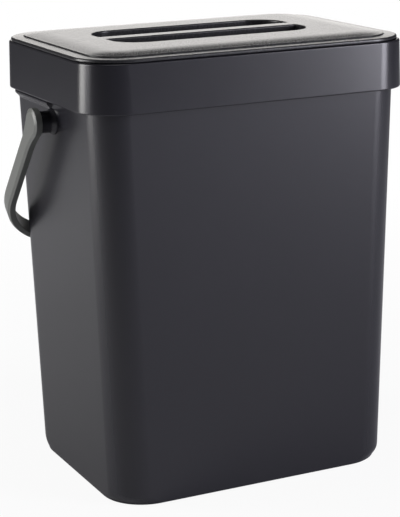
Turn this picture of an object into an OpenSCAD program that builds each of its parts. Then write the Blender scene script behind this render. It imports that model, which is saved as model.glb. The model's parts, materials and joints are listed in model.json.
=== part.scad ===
// Compost caddy with a hinged lid, a lift-off bag collar and a strap bail.
// Millimetres. The front is -Y, the hinge is at the rear (+Y), and the origin is the centre
// of the face that the caddy stands on.

/* [Bucket] */
// Width of the bucket at its foot
base_w = 169.6; // [150:0.1:180]
// Depth of the bucket at its foot
base_d = 128.4; // [115:0.1:131]
// Width of the bucket at its open mouth
mouth_w = 184.4; // [176:0.1:200]
// Depth of the bucket at its open mouth
mouth_d = 132.5; // [126:0.1:150]
// Height of the bucket's mouth above the resting face
bucket_h = 239.2; // [180:0.1:300]
// Radius of the bucket's upright corners, outside
corner_r = 18.5; // [14:0.5:24]
// Thickness of the bucket's walls
wall_t = 2.2; // [1.6:0.1:3]
// Thickness of the bucket's floor
floor_t = 2.6; // [1.8:0.1:4]
// Radius of the edge round the foot, outside
foot_edge_r = 1.5; // [1:0.5:6]
// How much larger the radius of the upright corners grows down at the foot
foot_round = 6; // [2:0.5:8]
// Height over which the corners grow rounder
foot_round_h = 7; // [4:0.5:10]
// Radius between the floor and the walls, inside
floor_edge_r = 6; // [3:0.5:10]
// Width of the foot ring that the floor is set up inside
foot_ring_w = 9; // [7:0.5:14]
// Height of the floor's underside above the resting face
foot_lift = 1.6; // [1:0.1:3]
// Height of the strengthening cross ribs under the floor
floor_rib_h = 1.1; // [0.5:0.1:1.5]
// How far the ledge under the collar stands out from the rear half of the bucket
ledge_out = 2.2; // [1.2:0.1:3]
// Distance behind the pivots at which the ledge starts
ledge_start = 1; // [0.5:0.5:20]
// Height of the ledge's upright face
ledge_face_h = 1.4; // [1:0.1:3]

/* [Collar] */
// How far the collar's outline stands out beyond the bucket's mouth on each side
collar_out = 3.35; // [3:0.1:6]
// Height of the collar's outer skirt, top to bottom
collar_h = 24.2; // [18:0.1:34]
// How far the skirt leans outwards from top to bottom
skirt_flare = 0.95; // [0.2:0.05:1.5]
// Thickness of the skirt
skirt_t = 1.9; // [1.4:0.1:2.2]
// Thickness of the web that bridges the bucket's mouth
web_t = 2.2; // [1.6:0.1:3]
// Height of the rim round the collar's upper face, which hides the pan and the seal
rim_h = 2.2; // [1.8:0.1:2.6]
// Thickness of the rim
rim_t = 1.5; // [1.3:0.1:1.8]
// Radius of the rim's outside edge
rim_edge_r = 1.1; // [0.6:0.1:1.3]
// Thickness of the inner skirt that traps the bag
clamp_t = 1.8; // [1.2:0.1:2.4]
// Depth of the inner skirt below the web
clamp_h = 12; // [8:1:16]
// Gap left for the bag between the inner skirt and the bucket's wall
bag_gap = 0.8; // [0.6:0.1:1.2]
// How far the collar lifts off the bucket
collar_lift = 40; // [30:5:60]

/* [Lid] */
// How far the lid overhangs the collar's upper outline
lid_overhang = 0.2; // [0:0.1:0.6]
// Height of the shadow gap between the rim and the lid's edge
lid_gap = 0.4; // [0.3:0.1:0.8]
// Thickness of the lid's shell
lid_t = 2; // [1.8:0.1:2.4]
// Radius of the lid's corners, seen from above
lid_corner_r = 26; // [24:1:30]
// Bevel round the lid's upper edge
lid_bevel = 1; // [0.6:0.1:1.5]
// Width of the low border round the raised panel
border_w = 7; // [5:0.5:10]
// Height of the step from the border up to the raised panel
panel_step = 0.9; // [0.5:0.1:1.5]
// Further rise of the panel from its edge to its flat middle
panel_crown = 0.9; // [0.4:0.1:1.5]
// Distance over which the panel rises to its flat middle
crown_run = 15; // [10:1:18]
// Thickness of the inner pan
pan_t = 1.6; // [1.2:0.1:1.8]
// Depth of the pan's skirt below its flange
pan_skirt_h = 8; // [5:1:10]
// Distance from the collar's opening to the pan's skirt
pan_skirt_gap = 1.2; // [0.8:0.1:2]
// Width of the seal
seal_w = 3.5; // [2.5:0.1:4]
// Distance from the lid's edge to the seal
seal_inset = 3.4; // [3.2:0.1:3.8]
// Radius of the stakes that join the pan to the lid
stake_r = 1.6; // [1.2:0.1:2.2]

/* [Grip] */
// Length of the grip opening
grip_w = 117.6; // [100:0.1:130]
// Width of the grip opening across both slots and the bar
grip_d = 57.4; // [50:0.1:64]
// Radius of the grip opening's corners
grip_r = 16; // [10:1:20]
// Distance of the grip opening's centre behind the lid's centre
grip_y = 3.2; // [0:0.1:5]
// Width of the grip bar
bar_w = 10.3; // [8:0.1:14]
// Thickness of the grip bar
bar_t = 4; // [3.6:0.1:6]
// Depth of the grip well below the lid's flat middle
well_depth = 24; // [18:1:30]

/* [Hinge] */
// Height of the hinge axis above the collar's upper face, negative when below it
hinge_z_off = -0.4; // [-1:0.1:0.2]
// Distance of the hinge axis behind the lid's rear edge
hinge_y_off = 4.7; // [4.4:0.1:6]
// Outer radius of the knuckles
knuckle_r = 3.2; // [2.8:0.1:3.4]
// Distance of each hinge from the middle
hinge_x = 46; // [35:1:60]
// Width of the lid's knuckle
tab_w = 13; // [10:1:18]
// Width of each of the collar's knuckles
ear_w = 8; // [6:1:12]
// Radius of the hinge pins
pin_r = 1.5; // [1.2:0.1:1.8]
// Furthest that the lid opens
lid_open_angle = 105; // [90:1:110]

/* [Bail] */
// Distance of the bail's pivots below the collar
pivot_drop = 12; // [11:0.1:20]
// Clearance between the collar's widest part and the bail's arms
arm_gap = 3.3; // [1.5:0.1:4]
// Thickness of the strap
strap_t = 4.4; // [3.4:0.1:5.5]
// Width of the strap
strap_w = 10.8; // [9:0.1:13]
// Bevel along the strap's outer edges
strap_bevel = 1.3; // [0.5:0.1:1.6]
// Bevel along the strap's inner edges
strap_inner_bevel = 0.5; // [0.2:0.1:1]
// Distance from the pivots to the far face of the crossbar
bail_reach = 112; // [100:0.1:125]
// Radius of the bail's bends, outside
bend_r = 48; // [25:0.1:60]
// Radius of the eye at the end of each arm
eye_r = 8.2; // [7:0.1:10]
// Radius of the bail's pegs
peg_r = 3.4; // [2.5:0.1:4.5]
// Radius of the bosses that carry the pegs
boss_r = 6; // [5.6:0.1:8]
// Depth of the peg's socket in the boss
socket_depth = 6.2; // [5:0.1:7]

/* [Hidden] */
$fn = 96;
HULL_FN = 40;
SKIN = 0.01;

// Clearances of the fits
seat_gap = 0.2;
run_gap = 0.4;
pin_gap = 0.05;
press_gap = 0.02;
seal_gap = 0.25;
rest_gap = 0.35;
fit_gap = 0.2;
rim_gap = 0.8;

// Heights
floor_z = foot_lift + floor_t;
web_z = bucket_h + seat_gap;
collar_top = web_z + web_t;
collar_foot = collar_top - collar_h;
rim_top = collar_top + rim_h;
shell_z = rim_top + lid_gap;
border_z = shell_z + lid_t;
panel_z = border_z + panel_step;
lid_top_z = panel_z + panel_crown;
panel_shell_z = panel_z - lid_t;
flange_z = shell_z - pan_t;
seal_z = collar_top + seal_gap;
well_z = lid_top_z - well_depth;
pivot_z = collar_foot - pivot_drop;

// Plan sizes
collar_w = mouth_w + 2 * collar_out;
collar_d = mouth_d + 2 * collar_out;
collar_r = corner_r + collar_out - 0.5;
clamp_inset = wall_t + bag_gap;
opening_inset = clamp_inset + clamp_t;
lid_w = collar_w + 2 * lid_overhang;
lid_d = collar_d + 2 * lid_overhang;
pan_inset = lid_overhang + rim_t + rim_gap;
panel_w = lid_w - 2 * border_w;
panel_d = lid_d - 2 * border_w;
panel_r = lid_corner_r - border_w;

// Grip well
lip_t = 1.5;
well_gap = lip_t + fit_gap;

// Hinge
hinge_y = lid_d / 2 + hinge_y_off;
hinge_z = collar_top + hinge_z_off;
hinge_span = tab_w + 2 * run_gap + 2 * ear_w;
ear_step = tab_w / 2 + run_gap + ear_w / 2;

// Bail
arm_x = collar_w / 2 + skirt_flare + arm_gap;
strap_x = arm_x + strap_t;
boss_x = arm_x - run_gap;
bend_drop = bail_reach - bend_r;
bend_in_r = bend_r - strap_t;
crossbar_half = strap_x - bend_r;
// The bail swings in until a lower inside edge of its bends comes to rest on the bucket
bail_rest = rest_angle(0, 90, 24);

SHELL = [0.25, 0.25, 0.28];
LID_GREY = [0.36, 0.36, 0.38];
STRAP_GREY = [0.42, 0.43, 0.42];
RUBBER = [0.12, 0.12, 0.13];
STEEL = [0.7, 0.7, 0.72];

// A drafted size of the bucket at height z
function size_at(low, high, z) = low + (high - low) * z / bucket_h;

// Distance from the point [x, y, z] out to the bucket's wall, less than 0 inside the bucket
function wall_distance(p) =
    let(qx = abs(p.x) - size_at(base_w, mouth_w, p.z) / 2 + corner_r,
        qy = abs(p.y) - size_at(base_d, mouth_d, p.z) / 2 + corner_r)
    norm([max(qx, 0), max(qy, 0)]) + min(max(qx, qy), 0) - corner_r;

// Point of a bend's lower inside edge, t degrees round from the arm, with the bail swung back by a
function bend_point(t, a) =
    let(r = bend_in_r + strap_inner_bevel, s = bend_drop + r * sin(t), h = strap_w / 2)
    [crossbar_half + r * cos(t), s * sin(a) - h * cos(a), pivot_z - s * cos(a) - h * sin(a)];

// Smallest angle at which the bail clears the bucket, found by halving the angles low to high
function rest_angle(low, high, turns) =
    let(a = (low + high) / 2, room = min([for (t = [0:3:90]) wall_distance(bend_point(t, a))]))
    turns == 0 ? high
    : room < rest_gap ? rest_angle(a, high, turns - 1)
    : rest_angle(low, a, turns - 1);

// Rounded rectangle, centred
module rounded(w, d, r) {
    square([w - 2 * r, d], center = true);
    square([w, d - 2 * r], center = true);
    for (x = [-1, 1], y = [-1, 1]) translate([x * (w / 2 - r), y * (d / 2 - r)]) circle(r);
}

// Straight rounded block between two heights
module block(w, d, r, z0, z1) {
    translate([0, 0, z0]) linear_extrude(z1 - z0) rounded(w, d, r);
}

// Straight rounded ring: the outline less what lies further in than t
module ring(w, d, r, t, z0, z1) {
    difference() {
        block(w, d, r, z0, z1);
        block(w - 2 * t, d - 2 * t, r - t, z0 - 1, z1 + 1);
    }
}

// Thin slice of a drafted body
module slice(w, d, r, z) {
    translate([0, 0, z]) linear_extrude(SKIN) rounded(w, d, r);
}

// Slice that follows the bucket's draft, moved in by inset, its corners rounder by extra
module bucket_slice(inset, z, extra = 0) {
    slice(size_at(base_w, mouth_w, z) - 2 * inset, size_at(base_d, mouth_d, z) - 2 * inset,
          corner_r - inset + extra, z);
}

// Slice that follows the collar's flare, moved in by inset
module collar_slice(inset, z) {
    lean = skirt_flare * (collar_top - z) / collar_h;
    slice(collar_w + 2 * (lean - inset), collar_d + 2 * (lean - inset),
          collar_r + 2 * lean - inset, z);
}

module bucket_outside() {
    hull() {
        for (a = [0:22.5:90])
            bucket_slice(foot_edge_r * (1 - sin(a)), foot_edge_r * (1 - cos(a)), foot_round,
                         $fn = HULL_FN);
        for (t = [0.25:0.25:1])
            bucket_slice(0, foot_edge_r + (foot_round_h - foot_edge_r) * t,
                         foot_round * (1 - t) * (1 - t), $fn = HULL_FN);
        bucket_slice(0, bucket_h - SKIN, $fn = HULL_FN);
    }
}

module bucket_inside() {
    hull() {
        for (a = [0:30:90])
            bucket_slice(wall_t + floor_edge_r * (1 - sin(a)), floor_z + floor_edge_r * (1 - cos(a)),
                         $fn = HULL_FN);
        bucket_slice(wall_t, bucket_h + 1, $fn = HULL_FN);
    }
}

// Ledge under the collar, round the rear half from pivot to pivot
module ledge() {
    face_z = collar_foot - 3.6;
    root_z = face_z - 2 * ledge_out - wall_t / 4;
    intersection() {
        hull() {
            bucket_slice(wall_t / 4, root_z, $fn = HULL_FN);
            bucket_slice(-ledge_out, face_z, $fn = HULL_FN);
            bucket_slice(-ledge_out, face_z + ledge_face_h, $fn = HULL_FN);
            bucket_slice(-0.4 * ledge_out, collar_foot - 0.5, $fn = HULL_FN);
        }
        translate([-mouth_w, ledge_start, root_z - 1])
            cube([2 * mouth_w, mouth_d, collar_foot - root_z + 1]);
    }
}

// Stand-off boss for one peg of the bail
module boss() {
    root_x = size_at(base_w, mouth_w, pivot_z - boss_r) / 2 - wall_t / 2;
    foot_h = 1.4;
    translate([root_x, 0, pivot_z]) rotate([0, 90, 0]) {
        cylinder(r = boss_r, h = boss_x - root_x);
        cylinder(r1 = boss_r + foot_h, r2 = boss_r, h = foot_h + wall_t / 2);
    }
}

module socket() {
    translate([boss_x - socket_depth, 0, pivot_z]) rotate([0, 90, 0])
        cylinder(r = peg_r + pin_gap, h = socket_depth + 1);
}

module bucket() {
    recess_w = base_w - 2 * foot_ring_w;
    recess_d = base_d - 2 * foot_ring_w;
    recess_r = corner_r - foot_ring_w / 2;
    color(SHELL) difference() {
        union() {
            bucket_outside();
            ledge();
            boss();
            mirror([1, 0, 0]) boss();
        }
        bucket_inside();
        difference() {
            block(recess_w, recess_d, recess_r, -1, foot_lift);
            for (y = [-1, 0, 1])
                translate([-base_w / 2, y * recess_d / 4 - 0.8, foot_lift - floor_rib_h])
                    cube([base_w, 1.6, floor_rib_h + 1]);
            for (x = [-1, 0, 1])
                translate([x * recess_w / 4 - 0.8, -base_d / 2, foot_lift - floor_rib_h])
                    cube([1.6, base_d, floor_rib_h + 1]);
        }
        socket();
        mirror([1, 0, 0]) socket();
    }
}

// Small upright ribs inside the skirt that keep the collar central on the bucket
module collar_ribs() {
    rib_t = 1.4;
    rib_top = web_z + web_t / 2;
    for (s = [-1, 1]) {
        for (x = [-0.6, -0.2, 0.2, 0.6])
            translate([x * mouth_w / 2 - rib_t / 2, s * (mouth_d + collar_d) / 4 - 2, 0])
                translate([0, 0, rib_top - clamp_h]) cube([rib_t, 4, clamp_h]);
        for (y = [-0.5, 0.5])
            translate([s * (mouth_w + collar_w) / 4 - 2, y * mouth_d / 2 - rib_t / 2, rib_top - clamp_h])
                cube([4, rib_t, clamp_h]);
    }
}

// Side view of a collar knuckle with its gusset, in Y and Z
module ear_profile() {
    back_y = collar_d / 2 - skirt_t / 2;
    gusset_h = 11;
    translate([hinge_y, hinge_z]) circle(knuckle_r);
    polygon([[back_y, hinge_z - hinge_z_off], [hinge_y, hinge_z - hinge_z_off],
             [hinge_y + knuckle_r * cos(45), hinge_z - knuckle_r * sin(45)],
             [back_y, hinge_z - gusset_h]]);
}

// Side view of the lid's knuckle and its arm over the notch in the rim, in Y and Z
module tab_profile() {
    root_y = lid_d / 2 - lid_t;
    arm_z = border_z - lid_bevel;
    translate([hinge_y, hinge_z]) circle(knuckle_r);
    polygon([[root_y, shell_z + 0.2], [root_y, arm_z], [lid_d / 2 + 2.5, arm_z],
             [hinge_y + knuckle_r * sin(30), hinge_z + knuckle_r * cos(30)], [hinge_y, hinge_z],
             [hinge_y - knuckle_r, hinge_z]]);
}

// Extrudes a Y-Z side view along X, centred on x
module across(x, w) {
    translate([x - w / 2, 0, 0]) rotate([90, 0, 90]) linear_extrude(w) children();
}

module hinge_bore(r) {
    for (s = [-1, 1]) translate([s * hinge_x - hinge_span / 2 - 1, hinge_y, hinge_z])
        rotate([0, 90, 0]) cylinder(r = r, h = hinge_span + 2);
}

module collar() {
    opening_w = mouth_w - 2 * opening_inset;
    opening_d = mouth_d - 2 * opening_inset;
    opening_r = corner_r - opening_inset;
    color(SHELL) difference() {
        union() {
            difference() {
                hull() {
                    collar_slice(0, collar_foot, $fn = HULL_FN);
                    for (a = [0:30:90])
                        collar_slice(rim_edge_r * (1 - cos(a)),
                                     rim_top - SKIN - rim_edge_r * (1 - sin(a)), $fn = HULL_FN);
                }
                difference() {
                    hull() {
                        collar_slice(skirt_t, collar_foot - 1, $fn = HULL_FN);
                        collar_slice(skirt_t, web_z - SKIN, $fn = HULL_FN);
                    }
                    difference() {
                        collar_ribs();
                        hull() {
                            bucket_slice(-run_gap, collar_foot - 2, $fn = HULL_FN);
                            bucket_slice(-run_gap, bucket_h + 1, $fn = HULL_FN);
                        }
                    }
                }
                block(opening_w, opening_d, opening_r, web_z - 1, collar_top + 1);
                block(collar_w - 2 * rim_t, collar_d - 2 * rim_t, collar_r - rim_t, collar_top,
                      rim_top + 1);
                for (s = [-1, 1]) across(s * hinge_x, tab_w + 2 * run_gap)
                    translate([collar_d / 2 - rim_t - 1, collar_top]) square([rim_t + 3, rim_h + 1]);
            }
            ring(opening_w + 2 * clamp_t, opening_d + 2 * clamp_t, opening_r + clamp_t, clamp_t,
                 web_z - clamp_h, web_z + web_t / 2);
            for (s = [-1, 1], e = [-1, 1]) across(s * hinge_x + e * ear_step, ear_w) ear_profile();
        }
        hinge_bore(pin_r + press_gap);
    }
}

// Plan of the two grip slots
module grip_slots() {
    difference() {
        rounded(grip_w, grip_d, grip_r);
        square([grip_w + 2, bar_w], center = true);
    }
}

// Places of the stakes that join the lid and the pan, round the grip well
module at_stakes() {
    ring_x = (grip_w / 2 + mouth_w / 2 - opening_inset) / 2 + 1;
    ring_y = mouth_d / 2 - opening_inset - 9;
    for (s = [-1, 1]) {
        for (y = [-0.5, 0, 0.5]) translate([s * ring_x, 2 * y * ring_y * 0.7, 0]) children();
        for (x = [-0.42, 0, 0.42]) translate([x * grip_w, s * ring_y, 0]) children();
    }
}

module lid_top() {
    color(LID_GREY) difference() {
        union() {
            difference() {
                union() {
                    hull() {
                        slice(lid_w, lid_d, lid_corner_r, shell_z, $fn = HULL_FN);
                        slice(lid_w, lid_d, lid_corner_r, border_z - lid_bevel, $fn = HULL_FN);
                        slice(lid_w - 2 * lid_bevel, lid_d - 2 * lid_bevel, lid_corner_r - lid_bevel,
                              border_z - SKIN, $fn = HULL_FN);
                    }
                    hull() {
                        slice(panel_w, panel_d, panel_r, border_z - 1, $fn = HULL_FN);
                        slice(panel_w - panel_step, panel_d - panel_step, panel_r - panel_step / 2,
                              panel_z, $fn = HULL_FN);
                        slice(panel_w - 2 * crown_run, panel_d - 2 * crown_run,
                              panel_r - crown_run + 2, lid_top_z - SKIN, $fn = HULL_FN);
                    }
                }
                block(panel_w - 2 * lid_t, panel_d - 2 * lid_t, panel_r - lid_t, shell_z - 1,
                      panel_shell_z);
            }
            translate([0, grip_y, 0]) {
                ring(grip_w + 2 * lip_t, grip_d + 2 * lip_t, grip_r + lip_t, lip_t + 0.01,
                     flange_z - 1, panel_shell_z + 0.5);
                translate([-grip_w / 2 - lip_t / 2, -bar_w / 2, lid_top_z - bar_t])
                    cube([grip_w + lip_t, bar_w, bar_t - lid_t / 2]);
            }
            at_stakes() translate([0, 0, flange_z]) cylinder(r = stake_r, h = panel_z - 1 - flange_z);
            for (s = [-1, 1]) across(s * hinge_x, tab_w) tab_profile();
        }
        translate([0, grip_y, flange_z - 2]) linear_extrude(lid_top_z - flange_z + 3) grip_slots();
        hinge_bore(pin_r + pin_gap);
    }
}

module lid_pan() {
    w = lid_w - 2 * pan_inset;
    d = lid_d - 2 * pan_inset;
    r = lid_corner_r - pan_inset;
    well_w = grip_w + 2 * well_gap;
    well_d = grip_d + 2 * well_gap;
    well_r = grip_r + well_gap;
    skirt_inset = opening_inset + pan_skirt_gap;
    color(SHELL) difference() {
        union() {
            block(w, d, r, flange_z, shell_z);
            translate([0, grip_y, 0])
                block(well_w + 2 * pan_t, well_d + 2 * pan_t, well_r + pan_t, well_z, flange_z + 0.1);
            ring(mouth_w - 2 * skirt_inset, mouth_d - 2 * skirt_inset, corner_r - skirt_inset,
                 pan_t, flange_z - pan_skirt_h, flange_z + 0.1);
        }
        translate([0, grip_y, 0]) block(well_w, well_d, well_r, well_z + pan_t, shell_z + 1);
        seal_ring(flange_z - 1);
        at_stakes() translate([0, 0, flange_z - 1]) cylinder(r = stake_r + press_gap, h = pan_t + 2);
    }
}

// The seal's ring from z up into its groove
module seal_ring(z) {
    ring(lid_w - 2 * seal_inset, lid_d - 2 * seal_inset, lid_corner_r - seal_inset, seal_w, z,
         flange_z + pan_t / 2);
}

module lid_seal() {
    color(RUBBER) seal_ring(seal_z);
}

module hinge_pin(side) {
    color(STEEL) translate([side * hinge_x - hinge_span / 2, hinge_y, hinge_z]) rotate([0, 90, 0])
        cylinder(r = pin_r, h = hinge_span);
}

module hinge_pin_left() {
    hinge_pin(-1);
}

module hinge_pin_right() {
    hinge_pin(1);
}

// Section of the strap: distance outwards from the arm's inner face, and across its width
module strap_section() {
    h = strap_w / 2;
    in = strap_inner_bevel;
    out = strap_bevel;
    polygon([[0, -h + in], [in, -h], [strap_t - out, -h], [strap_t, -h + out],
             [strap_t, h - out], [strap_t - out, h], [in, h], [0, h - in]]);
}

// One half of the bail, hanging straight down from a pivot at the origin
module bail_half() {
    translate([arm_x, 0, -bend_drop]) linear_extrude(bend_drop) strap_section();
    translate([crossbar_half, 0, -bend_drop]) rotate([90, 0, 0]) mirror([0, 1, 0])
        rotate_extrude(angle = 90) translate([bend_in_r, 0]) strap_section();
    translate([0, 0, -bail_reach + strap_t]) rotate([0, 90, 0])
        linear_extrude(crossbar_half) strap_section();
    translate([arm_x, 0, 0]) rotate([0, 90, 0]) {
        cylinder(r = eye_r, h = strap_t - strap_bevel);
        translate([0, 0, strap_t - strap_bevel])
            cylinder(r1 = eye_r, r2 = eye_r - strap_bevel, h = strap_bevel);
    }
    translate([boss_x - socket_depth + run_gap, 0, 0]) rotate([0, 90, 0])
        cylinder(r = peg_r, h = arm_x - boss_x + socket_depth);
}

module bail() {
    color(STRAP_GREY) translate([0, 0, pivot_z]) rotate([bail_rest, 0, 0]) {
        bail_half();
        mirror([1, 0, 0]) bail_half();
    }
}

bucket();
collar();
lid_top();
lid_pan();
lid_seal();
hinge_pin_left();
hinge_pin_right();
bail();
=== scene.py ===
"""Compost caddy with a hinged lid: its moulded surfaces and finishes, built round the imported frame.

Lengths are in metres, in the frame's own axes: the front is -Y and +Z is up.
"""
import json
import math

import bmesh
import bpy
from bpy.props import FloatProperty, FloatVectorProperty, PointerProperty
from mathutils import Matrix, Vector
from mathutils.geometry import delaunay_2d_cdt


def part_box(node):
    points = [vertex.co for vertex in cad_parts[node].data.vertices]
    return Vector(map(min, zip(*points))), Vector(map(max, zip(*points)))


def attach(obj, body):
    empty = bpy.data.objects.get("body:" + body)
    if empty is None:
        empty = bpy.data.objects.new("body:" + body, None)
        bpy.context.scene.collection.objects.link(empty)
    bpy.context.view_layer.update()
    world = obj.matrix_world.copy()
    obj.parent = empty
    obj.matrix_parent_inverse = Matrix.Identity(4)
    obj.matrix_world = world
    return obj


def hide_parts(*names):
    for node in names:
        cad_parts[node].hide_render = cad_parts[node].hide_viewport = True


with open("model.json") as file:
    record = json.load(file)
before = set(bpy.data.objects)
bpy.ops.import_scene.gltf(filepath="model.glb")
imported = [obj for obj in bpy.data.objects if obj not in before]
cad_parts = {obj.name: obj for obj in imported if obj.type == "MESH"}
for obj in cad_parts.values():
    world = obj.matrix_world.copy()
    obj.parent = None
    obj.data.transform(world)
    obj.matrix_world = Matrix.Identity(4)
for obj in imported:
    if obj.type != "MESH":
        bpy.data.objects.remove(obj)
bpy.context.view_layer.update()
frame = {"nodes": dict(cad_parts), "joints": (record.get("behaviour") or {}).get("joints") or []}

bl_info = {
    "name": "Compost Caddy",
    "version": (1, 0, 0),
    "blender": (4, 5, 0),
    "location": "3D View > Sidebar > Caddy",
    "description": "Models the surfaces and finishes of a compost caddy round its frame",
    "category": "Object",
}

MM = 0.001

JOINTS = {joint["name"]: joint for joint in frame["joints"]}
HINGE = Vector(JOINTS["lid_hinge"]["pos_m"])
PIVOT = Vector(JOINTS["bail_swing"]["pos_m"])

# Corners of the nodes' boxes: lowest, highest
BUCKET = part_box("bucket")
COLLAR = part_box("collar")
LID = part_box("lid_top")
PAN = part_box("lid_pan")
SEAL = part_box("lid_seal")
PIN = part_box("hinge_pin_right")
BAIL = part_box("bail")

# How finely outlines are drawn
CORNER_STEPS = 14
SIDE_STOPS = (-0.6, -0.2, 0.2, 0.6)
ARC_STEPS = 5
TURN_STEPS = 48
FULL_TURN = [math.tau * step / TURN_STEPS for step in range(TURN_STEPS)]

# Least radius of the upright corners of bucket, collar and grip well, and the angle from which
# an edge is kept sharp
LEAST_R = 3 * MM
SHARP = math.radians(38)


def crossbar_lean():
    """Angle of the bail at rest, from straight down, seen along the pivots."""
    spots = [v.co - PIVOT for v in frame["nodes"]["bail"].data.vertices]
    reach = max(math.hypot(spot.y, spot.z) for spot in spots)
    # Points beyond this share of the reach lie on the crossbar
    crossbar_part = 0.995
    far = [spot for spot in spots if math.hypot(spot.y, spot.z) > crossbar_part * reach]
    middle = sum(far, Vector()) / len(far)
    return math.atan2(middle.y, -middle.z)


def length(name, description, default):
    return FloatProperty(name=name, description=description, default=default, min=0,
                         unit="LENGTH", precision=5)


def degrees(name, description, default):
    return FloatProperty(name=name, description=description, default=math.radians(default),
                         subtype="ANGLE")


def colour(name, description, default):
    return FloatVectorProperty(name=name, description=description, default=default, min=0, max=1,
                               size=3, subtype="COLOR")


def share(name, description, default):
    return FloatProperty(name=name, description=description, default=default, min=0, max=1,
                         subtype="FACTOR")


class BucketSizes(bpy.types.PropertyGroup):
    """Sizes of the bucket"""
    foot_w: length("Foot width", "Width of the bucket at its foot", 169.6 * MM)
    foot_d: length("Foot depth", "Depth of the bucket at its foot", 128.4 * MM)
    mouth_w: length("Mouth width", "Width of the bucket at its mouth", 184.4 * MM)
    mouth_d: length("Mouth depth", "Depth of the bucket at its mouth", -2 * BUCKET[0].y)
    corner_r: length("Corner radius", "Radius of the upright corners", 18.5 * MM)
    wall: length("Wall", "Thickness of the walls", 2.2 * MM)
    floor_z: length("Floor height", "Height of the floor inside", 4.2 * MM)
    foot_lift: length("Foot lift", "Height of the floor's underside", 1.6 * MM)
    foot_ring: length("Foot ring", "Width of the ring that the bucket stands on", 9 * MM)
    foot_edge: length("Foot edge", "Radius of the edge round the foot", 1.5 * MM)
    foot_round: length("Foot corners", "Growth of the corner radius down at the foot", 6 * MM)
    foot_round_h: length("Foot corner height", "Height over which the corners grow", 7 * MM)
    floor_edge: length("Floor edge", "Radius between floor and walls, inside", 6 * MM)
    lip_edge: length("Lip edge", "Radius of the mouth's lip", 1 * MM)
    ledge_out: length("Ledge", "How far the ledge stands out of the rear half", 2.2 * MM)
    ledge_start: length("Ledge start", "Distance of the ledge's ends behind the pivots", 1 * MM)
    boss_r: length("Boss radius", "Radius of the bosses that carry the bail", 6 * MM)
    boss_flare: length("Boss flare", "Spread of a boss where it meets the wall", 1.4 * MM)
    socket_r: length("Socket radius", "Radius of the pegs' sockets", 3.45 * MM)
    socket_depth: length("Socket depth", "Depth of the pegs' sockets", 6.2 * MM)


class CollarSizes(bpy.types.PropertyGroup):
    """Sizes of the bag collar"""
    top_z: length("Top", "Height of the collar's upper face", HINGE.z + 0.4 * MM)
    rim_h: length("Rim height", "Height of the rim round the upper face", 2.2 * MM)
    rim_t: length("Rim thickness", "Thickness of the rim", 1.5 * MM)
    flare: length("Flare", "How far the skirt leans out from top to bottom", 0.95 * MM)
    skirt: length("Skirt", "Thickness of the outer skirt", 1.9 * MM)
    web: length("Web", "Thickness of the web over the bucket's mouth", 2.2 * MM)
    edge_r: length("Edge radius", "Radius of the rim's outside edge", 1.1 * MM)
    corner_r: length("Corner radius", "Radius of the corners at the top", 21.1 * MM)
    opening: length("Opening", "Distance from the outline in to the opening", 7.9 * MM)
    clamp: length("Clamp", "Thickness of the inner skirt that traps the bag", 1.8 * MM)
    clamp_h: length("Clamp height", "Depth of the inner skirt below the web", 12 * MM)


class LidSizes(bpy.types.PropertyGroup):
    """Sizes of the lid, its grip and its pan"""
    corner_r: length("Corner radius", "Radius of the lid's corners from above", 26 * MM)
    border_z: length("Border height", "Height of the border round the panel", LID[1].z - 1.8 * MM)
    border_w: length("Border width", "Width of the border round the panel", 7 * MM)
    border_fall: length("Border fall", "How far the border falls to the lid's edge", 0.3 * MM)
    edge_r: length("Edge radius", "Radius of the lid's upper edge", 1 * MM)
    shell_z: length("Shell underside", "Height of the shell's underside", PAN[1].z)
    step: length("Step", "Rise from the border to the panel's edge", 0.6 * MM)
    crown_run: length("Crown run", "Distance over which the panel rises to its middle", 15 * MM)
    grip_w: length("Grip length", "Length of the grip opening", 117.6 * MM)
    grip_d: length("Grip width", "Width of the grip opening", 57.4 * MM)
    grip_r: length("Grip radius", "Radius of the grip opening's corners", 16 * MM)
    grip_y: length("Grip centre", "Distance of the grip's centre behind the lid's", 3.2 * MM)
    bar_w: length("Bar width", "Width of the grip bar", 10.3 * MM)
    slot_edge: length("Slot edge", "Radius of the slots' upper edges", 0.9 * MM)
    lip_t: length("Lip thickness", "Thickness of the lip under the grip opening", 1.5 * MM)
    pan_t: length("Pan thickness", "Thickness of the inner pan", 1.6 * MM)
    well_gap: length("Well gap", "Distance from the grip opening to the well's wall", 1.7 * MM)
    skirt_in: length("Pan skirt", "Distance from the pan's edge in to its skirt", 7.05 * MM)
    skirt_h: length("Pan skirt height", "Depth of the pan's skirt below its flange", 8 * MM)


class HingeSizes(bpy.types.PropertyGroup):
    """Sizes of the two hinges"""
    knuckle_r: length("Knuckle radius", "Outer radius of the knuckles", LID[1].y - HINGE.y)
    spacing: length("Spacing", "Distance of each hinge from the middle", (PIN[0].x + PIN[1].x) / 2)
    tab_w: length("Lid knuckle", "Width of the lid's knuckle", 13 * MM)
    ear_w: length("Collar knuckle", "Width of each of the collar's knuckles", 8 * MM)
    gap: length("Gap", "Gap between neighbouring knuckles", 0.4 * MM)
    gusset: length("Gusset", "Depth of the gusset below the hinge axis", 11 * MM)
    pin_r: length("Pin radius", "Radius of the pins", (PIN[1].z - PIN[0].z) / 2)


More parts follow.
